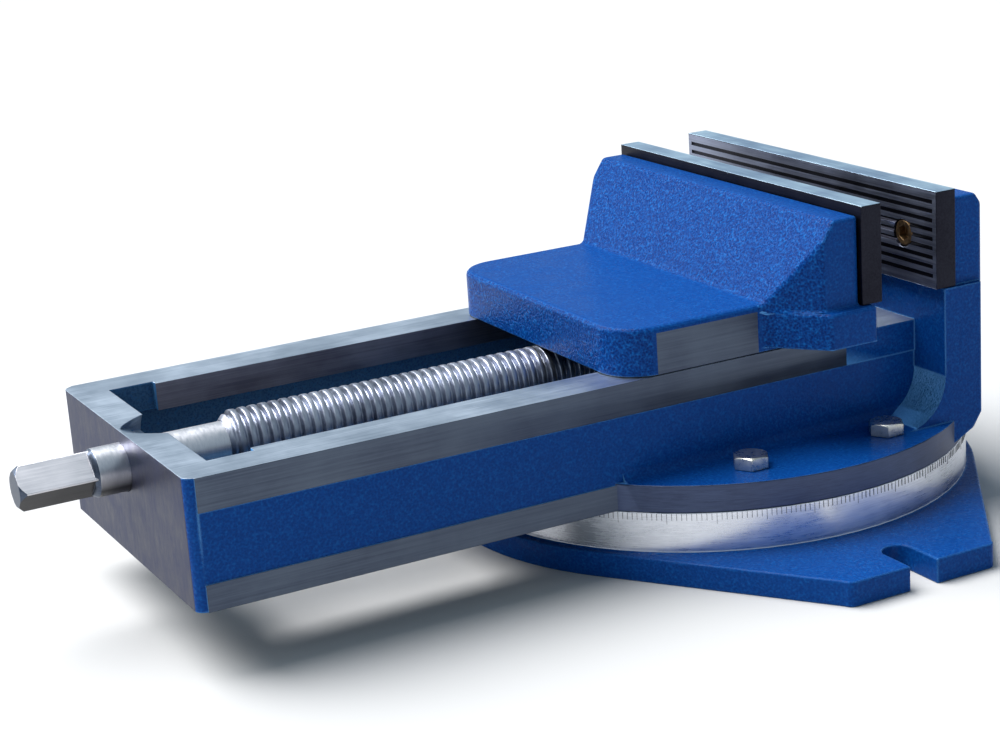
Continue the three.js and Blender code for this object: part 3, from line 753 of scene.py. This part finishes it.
def capScrewTree():
    # socket-head screws, one at each vertex of the host mesh
    tree, sizes = newTree("cap_screws", {
        "Shank": 0.01, "Head": 0.016, "Head Height": 0.009, "Grip": 0.03, "Socket": 0.008,
        "Turn": (0.0, 0.0, 0.0)}, True)
    half = lambda name: calc(tree, "MULTIPLY", sizes[name], 0.5)
    chamfer = calc(tree, "MULTIPLY", sizes["Head Height"], 0.12)
    barrel = calc(tree, "SUBTRACT", sizes["Head Height"], chamfer)
    head = rod(tree, half("Head"), barrel, 48)
    top = moved(tree, frustum(tree, half("Head"), calc(tree, "SUBTRACT", half("Head"), chamfer),
                              chamfer, 48), vector(tree, 0, 0, barrel))
    shank = moved(tree, rod(tree, half("Shank"), calc(tree, "ADD", sizes["Grip"], 0.001), 32),
                  vector(tree, 0, 0, calc(tree, "MULTIPLY", sizes["Grip"], -1)))
    key = moved(tree, rod(tree, calc(tree, "DIVIDE", sizes["Socket"], math.sqrt(3)),
                          sizes["Head Height"], 6),
                vector(tree, 0, 0, calc(tree, "MULTIPLY", sizes["Head Height"], 0.45)))
    screw = boolean(tree, "DIFFERENCE", boolean(tree, "UNION", head, top, shank), key)
    laid = moved(tree, screw, turn=sizes["Turn"])
    placed = addNode(tree, "GeometryNodeInstanceOnPoints",
                     [("Points", sizes["Mesh"]), ("Instance", laid)]).outputs[0]
    return endTree(tree, placed, sizes)


def makeCapScrews(finishes, tree, name, kind, body, slot, finish, turn, replaced, headSide):
    places = []
    for node in replaced:
        low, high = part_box(node)
        spot = [(a + b) / 2 for a, b in zip(low, high)]
        axis, side = headSide  # the seat of the head lies one head height inside the box
        end = high[axis] if side > 0 else low[axis]
        spot[axis] = end - side * capScrews[kind]["Head Height"]
        places.append(spot)
    seeds = bpy.data.meshes.new(name)
    seeds.from_pydata(places, [], [])
    made = grow(link(name, seeds), tree, {**capScrews[kind], "Turn": turn}, finishes[finish])
    settle(evened(made, 30), body, slot, *replaced)


def makeAllCapScrews(finishes):
    tree = capScrewTree()
    quarter = math.pi / 2
    rows = [
        ("fixed_plate_screws", "plate", "body", "plated_steel", "brassy", (0.0, -quarter, 0.0),
         ["fixed_plate_screw_1", "fixed_plate_screw_2"], (0, -1)),
        ("moving_plate_screws", "plate", "slide", "plated_steel", "brassy", (0.0, quarter, 0.0),
         ["moving_plate_screw_1", "moving_plate_screw_2"], (0, 1)),
        ("nut_bolts", "nut", "slide", "black_steel", "oilBlack", (math.pi, 0.0, 0.0),
         [f"nut_bolt_{i}" for i in range(1, 5)], (2, -1)),
        ("keeper_screws", "keeper", "slide", "black_steel", "oilBlack", (math.pi, 0.0, 0.0),
         [f"keeper_screw_{i}" for i in range(1, 5)], (2, -1)),
    ]
    for row in rows:
        makeCapScrews(finishes, tree, *row)


clampBolts = {"Shank": 0.012, "Flats": 0.018, "Head Height": 0.007, "Grip": 0.032}


def hexBoltTree():
    # a hexagon head with its chamfered crown and a plain shank below, standing at Place
    tree, sizes = newTree("hex_bolt", {
        "Shank": 0.012, "Flats": 0.018, "Head Height": 0.007, "Grip": 0.03,
        "Place": (0.0, 0.0, 0.0)})
    corner = calc(tree, "DIVIDE", sizes["Flats"], math.sqrt(3))
    hexagon = rod(tree, corner, sizes["Head Height"], 6)
    crown = calc(tree, "MULTIPLY", sizes["Flats"], 0.47)
    slope = calc(tree, "MULTIPLY", sizes["Head Height"], math.sqrt(3))
    cone = frustum(tree, calc(tree, "ADD", crown, slope), crown, sizes["Head Height"], 64)
    head = boolean(tree, "INTERSECT", hexagon, cone)
    shank = moved(tree, rod(tree, calc(tree, "MULTIPLY", sizes["Shank"], 0.5),
                            calc(tree, "ADD", sizes["Grip"], 0.001), 40),
                  vector(tree, 0, 0, calc(tree, "MULTIPLY", sizes["Grip"], -1)))
    whole = boolean(tree, "UNION", head, shank)
    return endTree(tree, moved(tree, whole, sizes["Place"]), sizes)


def makeClampBolts(finishes):
    tree = hexBoltTree()
    for number in range(1, 5):
        node = f"clamp_bolt_{number}"
        low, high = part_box(node)
        seat = high[2] - clampBolts["Head Height"]
        place = ((low[0] + high[0]) / 2, (low[1] + high[1]) / 2, seat)
        host = link(f"clamp_bolt_{number}_made", bpy.data.meshes.new("seed"))
        made = grow(host, tree, {**clampBolts, "Place": place}, finishes["zinc"])
        settle(evened(made, 25), f"bolt_{number}", "plated_steel", node)


scale = {"steps": 360, "long": 0.0058, "short": 0.0038, "thick": 0.00022, "deep": 0.0003}


def scaleTree():
    # graduation lines around the swivel ring, every tenth one longer
    tree, sizes = newTree("swivel_scale", {
        "Steps": 360, "Radius": 0.153, "Top": 0.036, "Short": 0.004, "Long": 0.006,
        "Thick": 0.0002, "Deep": 0.0003})
    ring = addNode(tree, "GeometryNodeMeshCircle",
                   [("Vertices", sizes["Steps"]), ("Radius", sizes["Radius"])]).outputs["Mesh"]
    bar = addNode(tree, "GeometryNodeMeshCube", [
        ("Size", vector(tree, sizes["Deep"], sizes["Thick"], 1))]).outputs["Mesh"]
    hung = moved(tree, bar, vector(tree, 0, 0, -0.5))
    index = addNode(tree, "GeometryNodeInputIndex").outputs[0]
    spot = addNode(tree, "GeometryNodeInputPosition").outputs[0]
    parts = addNode(tree, "ShaderNodeSeparateXYZ", [("Vector", spot)]).outputs
    angle = calc(tree, "ARCTAN2", parts["Y"], parts["X"])
    tenth = calc(tree, "COMPARE", calc(tree, "MODULO", index, 10), 0, 0.5)
    length = calc(tree, "ADD", sizes["Short"], calc(
        tree, "MULTIPLY", tenth, calc(tree, "SUBTRACT", sizes["Long"], sizes["Short"])))
    lines = addNode(tree, "GeometryNodeInstanceOnPoints", [
        ("Points", ring), ("Instance", hung), ("Rotation", vector(tree, 0, 0, angle)),
        ("Scale", vector(tree, 1, 1, length))]).outputs[0]
    raised = moved(tree, lines, vector(tree, 0, 0, sizes["Top"]))
    return endTree(tree, raised, sizes)


def makeScale(finishes):
    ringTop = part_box("swivel_base")[1][2]
    made = grow(link("swivel_scale", bpy.data.meshes.new("seed")), scaleTree(), {
        "Steps": scale["steps"], "Radius": bed["flangeRadius"], "Top": ringTop - 0.0004,
        "Short": scale["short"], "Long": scale["long"], "Thick": scale["thick"],
        "Deep": scale["deep"]}, finishes["ink"])
    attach(made, "base")
    print("scale lines:", scale["steps"])


plainPieces = {  # node: (body, slot, finish, edge rounding)
    "pivot_pin": ("base", "bright_steel", "brightSteel", 0.0010),
    "retaining_pin_1": ("body", "bright_steel", "brightSteel", 0.0004),
    "retaining_pin_2": ("body", "bright_steel", "brightSteel", 0.0004),
    "screw_nut": ("slide", "bronze", "bronze", 0.0008),
    "keeper_left": ("slide", "base_iron", "milledSide", 0.0006),
    "keeper_right": ("slide", "base_iron", "milledSide", 0.0006),
    "t_nut_1": ("body", "black_steel", "oilBlack", 0.0005),
    "t_nut_2": ("body", "black_steel", "oilBlack", 0.0005),
    "t_nut_3": ("body", "black_steel", "oilBlack", 0.0005),
    "t_nut_4": ("body", "black_steel", "oilBlack", 0.0005),
}


def makePlainPieces(finishes):
    for node, (body, slot, finish, width) in plainPieces.items():
        piece = roundEdges(copyOfNode(node, node + "_made"), lambda *edge: width, segments=2)
        finishFaces(piece, finishes, [finish], lambda centre, normal: finish)
        settle(piece, body, slot, node)


def main():
    makeCamera()
    finishes = makeFinishes()
    makeStudio(finishes)
    makeBase(finishes)
    makeBody(finishes)
    makeMovingJaw(finishes)
    grooves = grooveTree()
    makePlate(finishes, grooves, "fixed_jaw_plate", "fixed_plate", "body",
              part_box("fixed_jaw_plate")[0][0])
    makePlate(finishes, grooves, "moving_jaw_plate", "moving_plate", "slide",
              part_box("moving_jaw_plate")[1][0])
    makeScrew(finishes)
    makeAllCapScrews(finishes)
    makeClampBolts(finishes)
    makeScale(finishes)
    makePlainPieces(finishes)


main()
